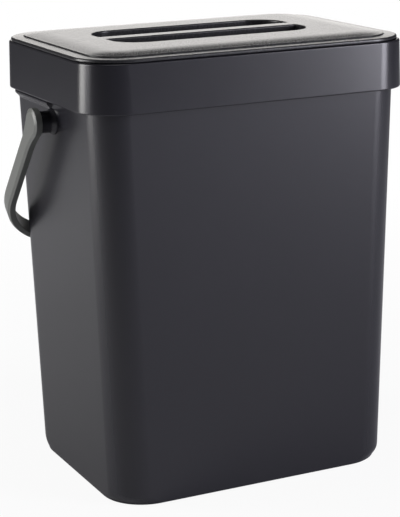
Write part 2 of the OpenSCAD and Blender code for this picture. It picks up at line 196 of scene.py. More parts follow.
class BailSizes(bpy.types.PropertyGroup):
    """Sizes of the bail"""
    strap_t: length("Strap thickness", "Thickness of the strap", 4.4 * MM)
    strap_w: length("Strap width", "Width of the strap", 10.8 * MM)
    bevel_w: length("Bevel width", "Width of the bevel along the strap's outer edges", 1.9 * MM)
    bevel_h: length("Bevel height", "Height of the bevel along the strap's outer edges", 1 * MM)
    inner_bevel: length("Inner bevel", "Bevel along the strap's inner edges", 0.5 * MM)
    reach: length("Reach", "Distance from the pivots to the crossbar's far face", 111.85 * MM)
    bend_r: length("Bend radius", "Radius of the bends, outside", 48 * MM)
    eye_r: length("Eye radius", "Radius of the eye at the end of each arm", 8.2 * MM)
    neck_r: length("Neck radius", "Radius between an eye and its arm", 60 * MM)
    peg_r: length("Peg radius", "Radius of the pegs", 3.4 * MM)
    peg_l: length("Peg length", "Length of the pegs inside the arms", 6.2 * MM)


class FinishSettings(bpy.types.PropertyGroup):
    """Colours and gloss of the plastics, the rubber and the steel"""
    shell: colour("Shell", "Colour of bucket, collar and pan", (0.016, 0.0158, 0.020))
    lid: colour("Lid", "Colour of the lid", (0.020, 0.020, 0.022))
    strap: colour("Strap", "Colour of the bail", (0.132, 0.137, 0.128))
    rubber: colour("Rubber", "Colour of the seal", (0.012, 0.012, 0.013))
    steel: colour("Steel", "Colour of the hinge pins", (0.56, 0.57, 0.58))
    shell_gloss: share("Shell roughness", "Roughness of bucket and collar", 0.22)
    lid_gloss: share("Lid roughness", "Roughness of the lid", 0.25)
    strap_gloss: share("Strap roughness", "Roughness of the bail", 0.36)


class StageSettings(bpy.types.PropertyGroup):
    """Floor, light and camera"""
    camera_turn: degrees("Camera turn", "Angle of the view round the caddy", -25.73)
    camera_rise: degrees("Camera rise", "Angle of the view above level", 14.16)
    camera_roll: degrees("Camera roll", "Turn of the camera about its own axis", -1.05)
    camera_far: length("Camera distance", "Distance from the camera to its aim", 0.9994)
    aim_z: length("Aim height", "Height of the point that the camera aims at", 0.12362)
    lens: FloatProperty(name="Lens", description="Focal length", default=120.55, unit="CAMERA")
    floor: colour("Floor", "Colour of the floor", (0.66, 0.66, 0.675))
    room: share("Room light", "Strength of the light that comes from all round", 0.05)


SETTINGS = {
    "bucket": BucketSizes,
    "collar": CollarSizes,
    "lid": LidSizes,
    "hinge": HingeSizes,
    "bail": BailSizes,
    "finish": FinishSettings,
    "stage": StageSettings,
}


def settings(name):
    return getattr(bpy.context.scene, "caddy_" + name)


# Outlines and profiles

def arc_turn(start, end):
    """Signed angle from one plane vector to another."""
    return math.atan2(start.x * end.y - start.y * end.x, start.dot(end))


def evenly(start, end, steps, first=0):
    """Evenly spaced values from start to end, from the first step on."""
    return [start + (end - start) * step / steps for step in range(first, steps + 1)]


def circle(a, b, radius, angles):
    """Points at the given angles round a centre in a plane."""
    return [Vector((a + radius * math.cos(angle), b + radius * math.sin(angle)))
            for angle in angles]


def rounded(corners, steps=ARC_STEPS, closed=False):
    """Line through corners (a, b, radius), with an arc of that radius in each corner."""
    spots = []
    count = len(corners)
    for i, (a, b, radius) in enumerate(corners):
        here = Vector((a, b))
        if radius == 0 or (not closed and i in (0, count - 1)):
            spots.append(here)
            continue
        back = (Vector(corners[i - 1][:2]) - here).normalized()
        ahead = (Vector(corners[(i + 1) % count][:2]) - here).normalized()
        half = back.angle(ahead) / 2
        centre = here + (back + ahead).normalized() * (radius / math.sin(half))
        start = here + back * (radius / math.tan(half)) - centre
        end = here + ahead * (radius / math.tan(half)) - centre
        turns = evenly(0, arc_turn(start, end), steps)
        spots.extend(centre + Matrix.Rotation(turn, 2) @ start for turn in turns)
    return spots


def outline(half_w, half_d, radius, x_stops=None, y_stops=None, steps=CORNER_STEPS,
            stops=SIDE_STOPS):
    """Points and outward directions round a rounded rectangle, anticlockwise from above."""
    straight_x, straight_y = half_w - radius, half_d - radius
    x_stops = [straight_x * stop for stop in stops] if x_stops is None else sorted(x_stops)
    y_stops = [straight_y * stop for stop in stops] if y_stops is None else y_stops
    sides = (
        ((1, -1), [((half_w, y), (1, 0)) for y in y_stops]),
        ((1, 1), [((x, half_d), (0, 1)) for x in reversed(x_stops)]),
        ((-1, 1), [((-half_w, y), (-1, 0)) for y in reversed(y_stops)]),
        ((-1, -1), [((x, -half_d), (0, -1)) for x in x_stops]),
    )
    spots = []
    for quarter, ((side_x, side_y), side) in enumerate(sides):
        corner = Vector((side_x * straight_x, side_y * straight_y))
        for angle in evenly(math.pi / 2 * (quarter - 1), math.pi / 2 * quarter, steps):
            away = Vector((math.cos(angle), math.sin(angle)))
            spots.append((corner + radius * away, away))
        spots.extend((Vector(spot), Vector(away)) for spot, away in side)
    return spots


def area(spots):
    """Area inside a closed plane outline, less than 0 if it runs clockwise."""
    return sum(spots[i - 1].cross(spots[i]) for i in range(len(spots))) / 2


def parallel(radius, least=0):
    """The corner radius at each inset from an outline that has the given corner radius."""
    return lambda inset, z: max(radius - inset, least)


def shrunk(spots, distance):
    """A closed plane outline moved in by a distance, a little less at sharp corners."""
    least_cos = 0.5
    moved = []
    count = len(spots)
    side = 1 if area(spots) > 0 else -1
    for i, here in enumerate(spots):
        back = (here - spots[i - 1]).normalized()
        ahead = (spots[(i + 1) % count] - here).normalized()
        middle = (back + ahead).normalized()
        inwards = Vector((-middle.y, middle.x)) * side
        moved.append(here + inwards * (distance / max(middle.dot(ahead), least_cos)))
    return moved


def placed(name, data):
    """A new object in the scene."""
    thing = bpy.data.objects.new(name, data)
    bpy.context.scene.collection.objects.link(thing)
    return thing


class Shell:
    """Collects the points and faces of one piece, and makes its object."""

    def __init__(self):
        self.points = []
        self.faces = []

    def ring(self, points):
        first = len(self.points)
        self.points.extend(Vector(point) for point in points)
        return list(range(first, len(self.points)))

    def skin(self, rings, closed=False, capped=False):
        """Faces between each ring and the next, closed to a loop or capped at both ends."""
        pairs = list(zip(rings, rings[1:]))
        if closed:
            pairs.append((rings[-1], rings[0]))
        for low, high in pairs:
            for i in range(len(low)):
                j = (i + 1) % len(low)
                self.faces.append((low[i], low[j], high[j], high[i]))
        if capped:
            self.cap(rings[0])
            self.cap(rings[-1])

    def cap(self, ring):
        self.faces.append(tuple(ring))

    def fill(self, outer, holes, axes=(0, 1)):
        """Triangles of the flat face inside one ring and outside the others."""
        def flat(ring):
            return [Vector([self.points[i][axis] / MM for axis in axes]) for i in ring]

        used = []
        loops = []
        for ring in [outer, *holes]:
            loops.append(list(range(len(used), len(used) + len(ring))))
            used.extend(ring if area(flat(ring)) > 0 else ring[::-1])
        whole_hull, near = 0, 1e-5
        result = delaunay_2d_cdt(flat(used), [], loops, whole_hull, near)
        faces, origins, sources = result[2], result[3], result[5]
        for face, loop in zip(faces, sources):
            if list(loop) == [0]:
                self.faces.append(tuple(used[origins[k][0]] for k in face))

    def loft(self, profile, half_w, half_d, radius_at, centre_y=0, x_stops=None):
        """Rings parallel to a rounded outline, one for each (inset, height) of the profile."""
        rings = []
        for inset, z in profile:
            spots = outline(half_w - inset, half_d - inset, radius_at(inset, z), x_stops)
            rings.append(self.ring((spot.x, spot.y + centre_y, z) for spot, _ in spots))
        return rings

    def turned(self, profile, centre):
        """A turned form about a line along X: the profile's (x, radius), capped at both ends."""
        rings = [self.ring((x, *spot) for spot in circle(centre.y, centre.z, radius, FULL_TURN))
                 for x, radius in profile]
        self.skin(rings, capped=True)

    def knuckle(self, spots, middle, width, bore_r):
        """A Y-Z outline drawn out along X, with bevelled edges and the hinge's bore."""
        low, high = middle - width / 2, middle + width / 2
        bevel, eased = 0.5 * MM, 0.15 * MM
        layers = ((low, bevel), (low + eased, eased), (low + bevel, 0),
                  (high - bevel, 0), (high - eased, eased), (high, bevel))
        rings = [self.ring((x, *spot) for spot in shrunk(spots, inset)) for x, inset in layers]
        bore = [self.ring((x, *spot) for spot in circle(HINGE.y, HINGE.z, bore_r, FULL_TURN))
                for x in (low, high)]
        self.skin(rings)
        self.skin(bore)
        self.fill(rings[0], bore[:1], axes=(1, 2))
        self.fill(rings[-1], bore[1:], axes=(1, 2))

    def block(self, low, high, radius):
        """A block with rounded upright edges and soft upper and lower edges."""
        middle, half = (Vector(high) + Vector(low)) / 2, (Vector(high) - Vector(low)) / 2
        soft = 0.6 * radius
        rings = []
        for z, inset in ((low[2], soft), (low[2] + soft, 0), (high[2] - soft, 0), (high[2], soft)):
            spots = outline(half.x - inset, half.y - inset, radius - inset, steps=3, stops=())
            rings.append(self.ring((spot.x + middle.x, spot.y + middle.y, z) for spot, _ in spots))
        self.skin(rings, capped=True)

    def mesh(self, name, finish):
        mesh = bpy.data.meshes.new(name)
        mesh.from_pydata(self.points, [], self.faces)
        mesh.materials.append(finish)
        return mesh

    def piece(self, name, body, slot, finish, node):
        """Makes the object, on its body and in the place of its node's plain solid."""
        mesh = self.mesh(name, finish)
        work = bmesh.new()
        work.from_mesh(mesh)
        bmesh.ops.recalc_face_normals(work, faces=work.faces)
        work.to_mesh(mesh)
        work.free()
        mesh.shade_smooth()
        mesh.set_sharp_from_angle(angle=SHARP)
        piece = placed(name, mesh)
        weighted = piece.modifiers.new("Flat faces", "WEIGHTED_NORMAL")
        weighted.keep_sharp = True
        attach(piece, body)
        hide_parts(node)


# Finishes

class Value:
    """A socket in an expression: each operation adds its Math node to the tree."""

    def __init__(self, tree, socket):
        self.tree = tree
        self.socket = socket

    def math(self, operation, *values):
        node = self.tree.nodes.new("ShaderNodeMath")
        node.operation = operation
        for slot, value in zip(node.inputs, values):
            if isinstance(value, Value):
                self.tree.links.new(value.socket, slot)
            else:
                slot.default_value = value
        return Value(self.tree, node.outputs[0])

    def __add__(self, other):
        return self.math("ADD", self, other)

    def __radd__(self, other):
        return self.math("ADD", other, self)

    def __sub__(self, other):
        return self.math("SUBTRACT", self, other)

    def __rsub__(self, other):
        return self.math("SUBTRACT", other, self)

    def __mul__(self, other):
        return self.math("MULTIPLY", self, other)

    def __rmul__(self, other):
        return self.math("MULTIPLY", other, self)

    def __truediv__(self, other):
        return self.math("DIVIDE", self, other)

    def __rtruediv__(self, other):
        return self.math("DIVIDE", other, self)


class Nodes:
    """An emptied node tree, and the one way in which nodes are added to it."""

    def __init__(self, tree):
        self.tree = tree
        self.tree.nodes.clear()

    def node(self, kind, choices=None, sockets=None):
        """Adds a node of a type, sets its choices first and then its sockets."""
        made = self.tree.nodes.new("ShaderNode" + kind)
        for name, value in (choices or {}).items():
            setattr(made, name, value)
        for name, value in (sockets or {}).items():
            source = value.socket if isinstance(value, Value) else value
            if isinstance(source, bpy.types.NodeSocket):
                self.tree.links.new(source, made.inputs[name])
            else:
                made.inputs[name].default_value = source
        return made

    def seen(self):
        """1 for what the camera itself sees, 0 for all other light."""
        return Value(self.tree, self.node("LightPath").outputs["Is Camera Ray"])


class Finish(Nodes):
    """Builds the nodes of one material."""

    def __init__(self, name):
        self.material = bpy.data.materials.new(name)
        self.material.use_nodes = True
        super().__init__(self.material.node_tree)

    def place(self, stretch=(1, 1, 1)):
        """The surface's own coordinates in metres, stretched."""
        spot = self.node("TexCoord").outputs["Object"]
        return self.node("VectorMath", {"operation": "MULTIPLY"},
                         {0: spot, 1: stretch}).outputs[0]

    def noise(self, size, detail=3, rough=0.5, stretch=(1, 1, 1)):
        """Noise from 0 to 1, with features of about that size in metres."""
        made = self.node("TexNoise", {}, {"Vector": self.place(stretch), "Scale": 1 / size,
                                          "Detail": detail, "Roughness": rough})
        return Value(self.tree, made.outputs["Fac"])

    def cells(self, size):
        """Distance to the nearest cell point, in cells of about that size."""
        made = self.node("TexVoronoi", {"feature": "F1"},
                         {"Vector": self.place(), "Scale": 1 / size})
        return Value(self.tree, made.outputs["Distance"])

    def mix(self, factor, low, high):
        """Colour between two colours."""
        return self.node("Mix", {"data_type": "RGBA"},
                         {"Factor": factor, "A": (*low, 1), "B": (*high, 1)}).outputs[2]

    def bump(self, height, depth, distance):
        return self.node("Bump", {}, {"Height": height, "Strength": depth,
                                      "Distance": distance}).outputs[0]

    def surface(self, sockets):
        shader = self.node("BsdfPrincipled", {}, sockets)
        self.node("OutputMaterial", {}, {"Surface": shader.outputs[0]})
        return self.material


def shade(tint, factor):
    return tuple(min(1, part * factor) for part in tint)


def moulded_plastic(name, tint, roughness, grain=0.45 * MM, grain_depth=0.03, rub=0.03):
    """Moulded polypropylene: eroded mould grain, faint flow clouds and light handling rub."""
    finish = Finish(name)
    clouds = finish.noise(60 * MM, detail=2)
    flow = finish.noise(18 * MM, detail=4, stretch=(1, 1, 0.35))
    fine = finish.noise(grain, detail=2, rough=0.6)
    pits = finish.cells(grain * 1.6)
    haze = finish.noise(9 * MM, detail=5, rough=0.62)
    tone = clouds * 0.6 + flow * 0.25 + fine * 0.15
    base = finish.mix(tone, shade(tint, 0.9), shade(tint, 1.1))
    rough = roughness - rub / 2 + haze * rub + pits * 0.04
    relief = fine * 0.7 + (1 - pits) * 0.3
    return finish.surface({
        "Base Color": base,
        "Roughness": rough,
        "Normal": finish.bump(relief, grain_depth, 0.1 * MM),
        "Specular IOR Level": 0.5,
        "IOR": 1.49,
    })


def seal_rubber():
    """Soft black rubber with a bloom and a fine extruded drag along it."""
    tint = settings("finish").rubber
    finish = Finish("seal_rubber")
    bloom = finish.noise(6 * MM, detail=5, rough=0.6)
    drag = finish.noise(0.35 * MM, detail=2, stretch=(0.1, 0.1, 1))
    base = finish.mix(bloom, shade(tint, 0.8), shade(tint, 1.5))
    return finish.surface({
        "Base Color": base,
        "Roughness": 0.6 + bloom * 0.2,
        "Normal": finish.bump(drag, 0.2, 0.1 * MM),
        "Specular IOR Level": 0.4,
    })


def drawn_steel():
    """Drawn wire: fine lines along the pin and small changes of gloss."""
    tint = settings("finish").steel
    finish = Finish("drawn_steel")
    lines = finish.noise(0.12 * MM, detail=3, stretch=(0.02, 1, 1))
    stain = finish.noise(3 * MM, detail=4)
    base = finish.mix(stain, shade(tint, 0.85), shade(tint, 1.05))
    return finish.surface({
        "Base Color": base,
        "Roughness": 0.24 + lines * 0.16,
        "Metallic": 1.0,
        "Normal": finish.bump(lines, 0.1, 0.05 * MM),
    })


def finish_named(name):
    """The material of that name, made the first time it is asked for."""
    tints = settings("finish")
    makers = {
        "shell_plastic": lambda: moulded_plastic("shell_plastic", tints.shell, tints.shell_gloss),
        "lid_plastic": lambda: moulded_plastic("lid_plastic", tints.lid, tints.lid_gloss,
                                               grain=0.35 * MM, grain_depth=0.02),
        "strap_plastic": lambda: moulded_plastic("strap_plastic", tints.strap, tints.strap_gloss,
                                                 grain=0.5 * MM, grain_depth=0.07),
        "seal_rubber": seal_rubber,
        "drawn_steel": drawn_steel,
    }
    return bpy.data.materials.get(name) or makers[name]()


# The pieces

def ledge_profile(sizes):
    """Outward pushes and heights of the ledge round the rear half, from the top down."""
    top, out = COLLAR[0].z, sizes.ledge_out
    wall_top, wall_low = top + 0.5 * MM, top - 9.4 * MM
    tuck, tuck_top, tuck_low = 0.9 * MM, top + 0.4 * MM, top - 0.5 * MM
    face_top, face_low, root = top - 2 * MM, top - 2.9 * MM, top - 5.4 * MM
    ledge = rounded([(tuck, tuck_top, 0), (tuck, tuck_low, 0.3 * MM), (out, face_top, 0.35 * MM),
                     (out, face_low, 0.35 * MM), (0, root, 1 * MM), (0, wall_low, 0)])
    return [(0, wall_top), *ledge]


class CADDY_OT_bucket(bpy.types.Operator):
    """Model the bucket: drafted walls, foot ring, rear ledge and the bosses of the bail"""
    bl_idname = "caddy.bucket"
    bl_label = "Bucket"

    # Stops along the side walls, in front of the middle and behind it
    STOPS = tuple(y * MM for y in (-38, -24, -10, 10, 24, 38))

    def execute(self, context):
        sizes = settings("bucket")
        shell = Shell()
        top = BUCKET[1].z
        start, ramp = sizes.ledge_start, 0.2 * MM
        stops = sorted([*self.STOPS, start - ramp, start + ramp])

        def ring(inset, z, push=0, spread=0):
            part = z / top
            half_w = (sizes.foot_w + (sizes.mouth_w - sizes.foot_w) * part) / 2 - inset
            half_d = (sizes.foot_d + (sizes.mouth_d - sizes.foot_d) * part) / 2 - inset
            radius = max(sizes.corner_r - inset, LEAST_R) + spread
            spots = outline(half_w, half_d, radius, y_stops=stops)
            return shell.ring((*(spot + away * (push if spot.y > start else 0)), z)
                              for spot, away in spots)

        wall, foot_ring, lift = sizes.wall, sizes.foot_ring, sizes.foot_lift
        floor_reach, under_reach, under_collar = 16 * MM, 8 * MM, COLLAR[0].z + 6 * MM
        inside = rounded([(wall + floor_reach, sizes.floor_z, 0),
                          (wall, sizes.floor_z, sizes.floor_edge), (wall, top, sizes.lip_edge),
                          (0, top, sizes.lip_edge), (0, under_collar, 0)], steps=6)
        foot = rounded([(0, top / 2, 0), (0, 0, sizes.foot_edge), (foot_ring, 0, 0.8 * MM),
                        (foot_ring, lift, 0.5 * MM), (foot_ring + under_reach, lift, 0)], steps=6)
        rings = [ring(inset, z) for inset, z in inside]
        rings += [ring(0, z, push) for push, z in ledge_profile(sizes)]
        rings.append(ring(0, foot[0].y))
        for part in (1, 0.75, 0.5, 0.25):
            z = sizes.foot_edge + (sizes.foot_round_h - sizes.foot_edge) * part
            rings.append(ring(0, z, spread=sizes.foot_round * (1 - part) ** 2))
        for inset, z in foot[1:]:
            outside = inset < foot_ring / 2
            rings.append(ring(inset, z, spread=sizes.foot_round if outside else foot_ring / 2))
        shell.skin(rings, capped=True)
        self.bosses(shell, sizes)
        self.floor_ribs(shell, sizes)
        shell.piece("bucket_shell", "bucket", "shell", finish_named("shell_plastic"), "bucket")
        return {"FINISHED"}

    def bosses(self, shell, sizes):
        """Stand-off bosses with a flared root, a soft rim and a blind socket."""
        half_w = (sizes.foot_w + (sizes.mouth_w - sizes.foot_w) * PIVOT.z / BUCKET[1].z) / 2
        root, face = half_w - sizes.wall / 2, BUCKET[1].x
        flare_x, flare_end = half_w + 0.3 * MM, half_w + 2.2 * MM
        flare_r, least_r = sizes.boss_r + sizes.boss_flare, 0.4 * MM
        bottom = face - sizes.socket_depth
        profile = rounded([(root, 0, 0), (root, flare_r, 0), (flare_x, flare_r, 0.2 * MM),
                           (flare_end, sizes.boss_r, 2.4 * MM), (face, sizes.boss_r, 0.5 * MM),
                           (face, sizes.socket_r, 0.3 * MM), (bottom, sizes.socket_r, 0),
                           (bottom, least_r, 0)])
        for side in (-1, 1):
            shell.turned([(side * x, max(radius, least_r)) for x, radius in profile], PIVOT)

    def floor_ribs(self, shell, sizes):
        """Crossing ribs under the floor; those along the depth are a little less high."""
        rib, lap, low, less, edge = 0.8 * MM, 0.5 * MM, 0.5 * MM, 0.1 * MM, 0.5 * MM
        half_w = sizes.foot_w / 2 - sizes.foot_ring + lap
        half_d = sizes.foot_d / 2 - sizes.foot_ring + lap
        high = sizes.foot_lift + lap
        for place in (-1, 0, 1):
            x, y = place * half_w / 2, place * half_d / 2
            shell.block((-half_w, y - rib, low), (half_w, y + rib, high), edge)
            shell.block((x - rib, -half_d, low + less), (x + rib, half_d, high - less), edge)


def ear_outline(sizes, collar):
    """Side view of a collar knuckle with its gusset, in Y and Z."""
    back = -COLLAR[0].y - collar.flare - collar.skirt / 2
    top, radius = collar.top_z, sizes.knuckle_r
    start, end = math.radians(-45), math.pi - math.asin((top - HINGE.z) / radius)
    knuckle = circle(HINGE.y, HINGE.z, radius, evenly(start, end, steps=20))
    return [Vector((back, HINGE.z - sizes.gusset)), *knuckle, Vector((back, top))]


class CADDY_OT_collar(bpy.types.Operator):
    """Model the bag collar: flared skirt, web, bag clamp, centring ribs and hinge knuckles"""
    bl_idname = "caddy.collar"
    bl_label = "Collar"

    # Share of the rim's height that is left where the lid's knuckles pass
    NOTCH_LEFT = 0.04

    def execute(self, context):
        sizes, hinge, bucket = settings("collar"), settings("hinge"), settings("bucket")
        shell = Shell()
        foot, top, lean, skirt = COLLAR[0].z, sizes.top_z, sizes.flare, sizes.skirt
        half_w, half_d = COLLAR[1].x - lean, -COLLAR[0].y - lean
        web_z, rim_z = top - sizes.web, top + sizes.rim_h
        clamp_in, clamp_out = sizes.opening, sizes.opening - sizes.clamp
        clamp_z = web_z - sizes.clamp_h
        profile = rounded([(-lean, foot, 0.7 * MM), (0, rim_z, sizes.edge_r),
                           (sizes.rim_t, rim_z, 0.25 * MM), (sizes.rim_t, top, 0.3 * MM),
                           (clamp_in, top, 0.8 * MM), (clamp_in, clamp_z, 0.6 * MM),
                           (clamp_out, clamp_z, 0.6 * MM), (clamp_out, web_z, 0.5 * MM),
                           (skirt, web_z, 0.8 * MM), (skirt - lean, foot, 0.5 * MM)],
                          steps=6, closed=True)
        clamp_spread = bucket.corner_r - bucket.wall - (sizes.corner_r - clamp_out)

        def radius_at(inset, z):
            spread = lean * (top - z) / (top - foot) if inset < clamp_out else clamp_spread
            return max(sizes.corner_r - inset + spread, LEAST_R)

        notch, ramp, inner = hinge.tab_w / 2 + hinge.gap, 0.1 * MM, hinge.spacing / 4
        stops = [side * hinge.spacing + reach for side in (-1, 1)
                 for reach in (-notch - ramp, -notch, notch, notch + ramp)]
        rings = shell.loft(profile, half_w, half_d, radius_at, x_stops=[-inner, inner, *stops])
        for point in (shell.points[i] for ring in rings for i in ring):
            beside = abs(abs(point.x) - hinge.spacing)
            if point.y > 0 and point.z > top and beside < notch + ramp / 2:
                point.z = top + (point.z - top) * self.NOTCH_LEFT
        shell.skin(rings, closed=True)
        self.centring_ribs(shell, sizes, bucket, half_w, half_d)
        press = 0.01 * MM
        for middle in (side * (hinge.spacing + end * (notch + hinge.ear_w / 2))
                       for side in (-1, 1) for end in (-1, 1)):
            shell.knuckle(ear_outline(hinge, sizes), middle, hinge.ear_w, hinge.pin_r + press)
        shell.piece("collar_shell", "collar", "shell", finish_named("shell_plastic"), "collar")
        return {"FINISHED"}

    def centring_ribs(self, shell, sizes, bucket, half_w, half_d):
        """Small upright ribs between the skirt and the bucket's wall."""
        rib, gap, rib_h, sunk, edge = 0.7 * MM, 0.45 * MM, 10.9 * MM, 0.4 * MM, 0.3 * MM
        web_z = sizes.top_z - sizes.web
        low, high = web_z - rib_h, web_z + sunk
        wall_x, wall_y = bucket.mouth_w / 2 + gap, bucket.mouth_d / 2 + gap
        outer_x, outer_y = half_w - sizes.skirt / 2, half_d - sizes.skirt / 2
        for side in (-1, 1):
            near, far = sorted((side * wall_y, side * outer_y))
            for x in (part * bucket.mouth_w for part in (-0.3, -0.1, 0.1, 0.3)):
                shell.block((x - rib, near, low), (x + rib, far, high), edge)
            near, far = sorted((side * wall_x, side * outer_x))
            for y in (part * bucket.mouth_d for part in (-0.25, 0.25)):
                shell.block((near, y - rib, low), (far, y + rib, high), edge)


def slot_outline(sizes, side, grow):
    """Plan of one grip slot, grown by a distance: side is -1 at the front and 1 at the rear."""
    half_w, half_d = sizes.grip_w / 2 + grow, sizes.grip_d / 2 + grow
    bar, bar_r, grip_r = sizes.bar_w / 2 - grow, 1.6 * MM, sizes.grip_r + grow
    corners = [(-half_w, bar, bar_r), (half_w, bar, bar_r), (half_w, half_d, grip_r),
               (-half_w, half_d, grip_r)]
    return [Vector((spot.x, side * spot.y + sizes.grip_y))
            for spot in rounded(corners, steps=10, closed=True)]


def stake_places(sizes, collar):
    """Plan positions of the stakes that join the lid and the pan."""
    half_w = COLLAR[1].x - collar.flare - collar.opening
    half_d = -COLLAR[0].y - collar.flare - collar.opening
    outwards, inwards = 1 * MM, 9 * MM
    across, along = (sizes.grip_w / 2 + half_w) / 2 + outwards, half_d - inwards
    for side in (-1, 1):
        for part in (-0.7, 0, 0.7):
            yield side * across, part * along
        for part in (-0.42, 0, 0.42):
            yield part * sizes.grip_w, side * along


class CADDY_OT_lid(bpy.types.Operator):
    """Model the lid: edge, border, crowned panel, two grip slots, bar and hinge knuckles"""
    bl_idname = "caddy.lid"
    bl_label = "Lid"

    def execute(self, context):
        sizes = settings("lid")
        shell = Shell()
        half_w, half_d, top = LID[1].x, -LID[0].y, LID[1].z
        border_z, panel_z = sizes.border_z, sizes.border_z + sizes.step
        border, least_r = sizes.border_w, 5 * MM
        riser_low, riser_high, under_reach = border + 0.1 * MM, border + 0.4 * MM, border + 6 * MM
        crown_in, crown_z = border + 2 * MM, panel_z + 0.18 * MM
        edge = rounded([(under_reach, sizes.shell_z, 0), (0, sizes.shell_z, 0.4 * MM),
                        (0, border_z - sizes.border_fall, sizes.edge_r),
                        (riser_low, border_z, 0.3 * MM), (riser_high, panel_z, 0.3 * MM),
                        (crown_in, crown_z, 0)], steps=6)
        run = border + sizes.crown_run - crown_in
        crown = [(crown_in + run * part, top - (top - crown_z) * (1 - part) ** 2)
                 for part in (0.12, 0.25, 0.4, 0.55, 0.7, 0.85, 1)]
        rings = shell.loft([*edge, *crown], half_w, half_d, parallel(sizes.corner_r, least_r))
        shell.skin(rings)
        lows, highs = zip(*(self.slot(shell, sizes, side, top) for side in (-1, 1)))
        shell.fill(rings[0], lows)
        shell.fill(rings[-1], highs)
        self.lip_ring(shell, sizes)
        self.knuckles(shell, sizes, half_d)
        shell.piece("lid_cover", "lid", "lid", finish_named("lid_plastic"), "lid_top")
        return {"FINISHED"}

    def slot(self, shell, sizes, side, top):
        """The walls of one slot, with soft upper and lower edges; gives its two end rings."""
        low, soft, small, past = sizes.shell_z, sizes.slot_edge, 0.4 * MM, 0.1 * MM
        profile = rounded([(small + past, low, 0), (0, low, small), (0, top, soft),
                           (soft + 2 * past, top, 0)], steps=6)
        rings = [shell.ring((*spot, z) for spot in slot_outline(sizes, side, grow))
                 for grow, z in profile]
        shell.skin(rings)
        return rings[0], rings[-1]

    def lip_ring(self, shell, sizes):
        """The lip that hangs from the shell round the grip opening."""
        lip_h, sunk, behind, edge = 2.6 * MM, 0.5 * MM, 0.06 * MM, 0.4 * MM
        low, high = sizes.shell_z - lip_h, sizes.shell_z + sunk
        profile = rounded([(-behind, high, 0), (-behind, low, edge), (-sizes.lip_t, low, edge),
                           (-sizes.lip_t, high, 0)])
        rings = shell.loft(profile, sizes.grip_w / 2, sizes.grip_d / 2, parallel(sizes.grip_r),
                           sizes.grip_y)
        shell.skin(rings, closed=True)

    def knuckles(self, shell, sizes, half_d):
        """The lid's knuckles, one between each pair of the collar's."""
        hinge = settings("hinge")
        root, arm_end, arm_z = half_d - 2 * MM, half_d + 2.5 * MM, sizes.border_z - 1 * MM
        root_z, running = sizes.shell_z + 0.2 * MM, 0.05 * MM
        start, end = math.radians(60), math.radians(-180)
        barrel = circle(HINGE.y, HINGE.z, hinge.knuckle_r, evenly(start, end, steps=24))
        spots = [Vector((root, arm_z)), Vector((arm_end, arm_z)), *barrel, Vector((root, root_z))]
        for side in (-1, 1):
            shell.knuckle(spots, side * hinge.spacing, hinge.tab_w, hinge.pin_r + running)


class CADDY_OT_pan(bpy.types.Operator):
    """Model the pan inside the lid: flange, grip well, skirt and the heads of its stakes"""
    bl_idname = "caddy.pan"
    bl_label = "Lid pan"

    def execute(self, context):
        sizes = settings("lid")
        shell = Shell()
        half_w, half_d = PAN[1].x, PAN[1].y
        edge_r, least_r = sizes.corner_r - (LID[1].x - half_w), 4 * MM
        low, high, thick = PAN[0].z, sizes.shell_z, sizes.pan_t
        flange_z, skirt_z = high - thick, high - thick - sizes.skirt_h
        skirt_out, skirt_in = sizes.skirt_in, sizes.skirt_in + thick
        under = rounded([(0, high, 0.4 * MM), (0, flange_z, 0.4 * MM),
                         (skirt_out, flange_z, 0.6 * MM), (skirt_out, skirt_z, 0.5 * MM),
                         (skirt_in, skirt_z, 0.5 * MM), (skirt_in, flange_z, 1.2 * MM),
                         (skirt_in + 4 * MM, flange_z, 0)])
        flange = shell.loft(under, half_w, half_d, parallel(edge_r, least_r))
        well_w, well_d = sizes.grip_w / 2 + sizes.well_gap, sizes.grip_d / 2 + sizes.well_gap
        well_r = sizes.grip_r + sizes.well_gap
        reach, round_r = 6 * MM, 4 * MM
        outside = rounded([(-thick - 1 * MM, flange_z, 0), (-thick, flange_z, 0.8 * MM),
                           (-thick, low, round_r), (reach, low, 0)])
        inside = rounded([(reach, low + thick, 0), (0, low + thick, round_r), (0, high, 0.4 * MM),
                          (-0.5 * MM, high, 0)])
        well_out, well_in = (shell.loft(profile, well_w, well_d, parallel(well_r, LEAST_R),
                                        sizes.grip_y) for profile in (outside, inside))
        joins = [flange[-1], well_out[0]], [well_in[-1], flange[0]]
        for rings in (flange, well_out, well_in, *joins):
            shell.skin(rings)
        shell.cap(well_out[-1])
        shell.cap(well_in[0])
        self.stake_heads(shell, sizes, flange_z)
        shell.piece("lid_pan_shell", "lid", "shell", finish_named("shell_plastic"), "lid_pan")
        return {"FINISHED"}

    def stake_heads(self, shell, sizes, flange_z):
        """Domed heads of the stakes under the flange."""
        head_r, head_h, sunk = 2.6 * MM, 0.9 * MM, 0.3 * MM
        dome = [(head_r, flange_z + sunk)]
        dome += [(head_r * math.cos(rise), flange_z - head_h * math.sin(rise))
                 for rise in map(math.radians, (0, 15, 35, 55, 75, 88))]
        angles = evenly(0, math.tau, steps=20)[:-1]
        for x, y in stake_places(sizes, settings("collar")):
            rings = [shell.ring((*spot, z) for spot in circle(x, y, radius, angles))
                     for radius, z in dome]
            shell.skin(rings, capped=True)


